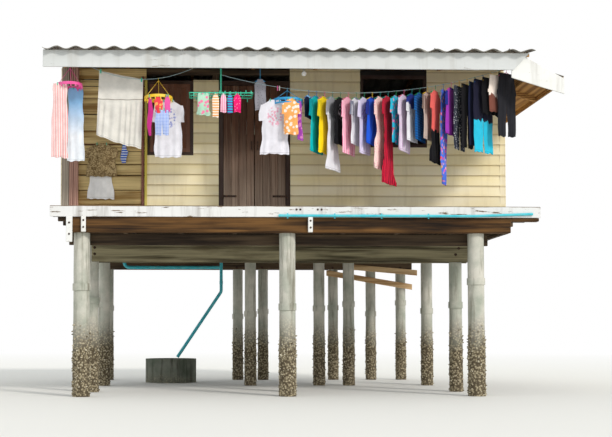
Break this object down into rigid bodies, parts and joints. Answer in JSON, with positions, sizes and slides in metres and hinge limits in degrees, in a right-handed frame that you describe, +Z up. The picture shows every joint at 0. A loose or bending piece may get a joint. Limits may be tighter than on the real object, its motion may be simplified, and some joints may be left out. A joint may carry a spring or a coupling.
{
  "type": "stilt house",
  "caption": "Single-storey timber house on round concrete stilts, with an open porch, a double door, lap-board walls, a low corrugated gable roof and a side lean-to.",
  "frame": {"origin": "middle of the plan on the water line, at the feet of the stilts", "axes": "X along the front, to the right seen from the water; Y from the front into the house; Z up"},
  "size_m": [6.915, 6.08, 5.1252],
  "materials": {
    "concrete": "pale cast concrete with crust",
    "dark_timber": "weathered dark timber",
    "floor_timber": "worn grey boards",
    "white_paint": "worn white paint on wood",
    "yellow_boards": "faded cream-yellow paint",
    "ochre_planks": "rough ochre planks",
    "brown_paint": "dark brown paint on wood",
    "roof_sheet": "weathered fibre cement",
    "roof_timber": "brown sawn timber",
    "iron": "dull dark iron",
    "turquoise_pipe": "turquoise plastic pipe",
    "lamp_socket": "white plastic",
    "hanger_plastic": "coloured plastic",
    "laundry_cloth": "washed clothes of many colours",
    "line_cord": "thin tight cord"
  },
  "bodies": {
    "house": {"back_braces": "dark_timber", "back_wall": "yellow_boards", "clothesline_main": "line_cord", "clothesline_side": "line_cord", "cross_beams": "dark_timber", "deck_brackets": "white_paint", "deck_edge_board": "white_paint", "deep_beams": "dark_timber", "door_frame": "brown_paint", "door_pintles": "iron", "drain_pipe": "turquoise_pipe", "floor_bearers": "dark_timber", "floor_boards": "floor_timber", "floor_joists": "dark_timber", "front_fascia": "white_paint", "front_wall_plank_bay": "ochre_planks", "front_wall_right_bay": "yellow_boards", "front_wall_window_bay": "yellow_boards", "joist_header": "dark_timber", "laundry_facing_front": "laundry_cloth", "laundry_hangers": "hanger_plastic", "laundry_on_line": "laundry_cloth", "laundry_rail": "roof_timber", "left_wall": "yellow_boards", "line_pole": "brown_paint", "porch_lamp": "lamp_socket", "porch_post": "floor_timber", "ridge_cap": "roof_sheet", "right_wall": "yellow_boards", "roof_purlins": "roof_timber", "roof_rafters": "roof_timber", "roof_sheets_back": "roof_sheet", "roof_sheets_front": "roof_sheet", "side_rake_board": "white_paint", "side_roof_frame": "roof_timber", "side_roof_sheets": "roof_sheet", "stilts_front": "concrete", "stilts_rear": "concrete", "tank_ring": "concrete", "wall_plates": "roof_timber", "wall_posts": "roof_timber", "water_pipe": "turquoise_pipe", "window_frames": "brown_paint", "window_shutters": "brown_paint"},
    "door_left": {"door_leaf_left": "brown_paint", "door_ironwork_left": "iron"},
    "door_right": {"door_leaf_right": "brown_paint", "door_ironwork_right": "iron"}
  },
  "joints": [
    {"name": "door_left_hinge", "type": "hinge", "parent": "house", "child": "door_left", "pos_m": [-1.0595, -1.779, 2.77], "axis": [0, 0, -1], "range_deg": [0, 100]},
    {"name": "door_right_hinge", "type": "hinge", "parent": "house", "child": "door_right", "pos_m": [-0.1655, -1.779, 2.77], "axis": [0, 0, 1], "range_deg": [0, 100]}
  ]
}
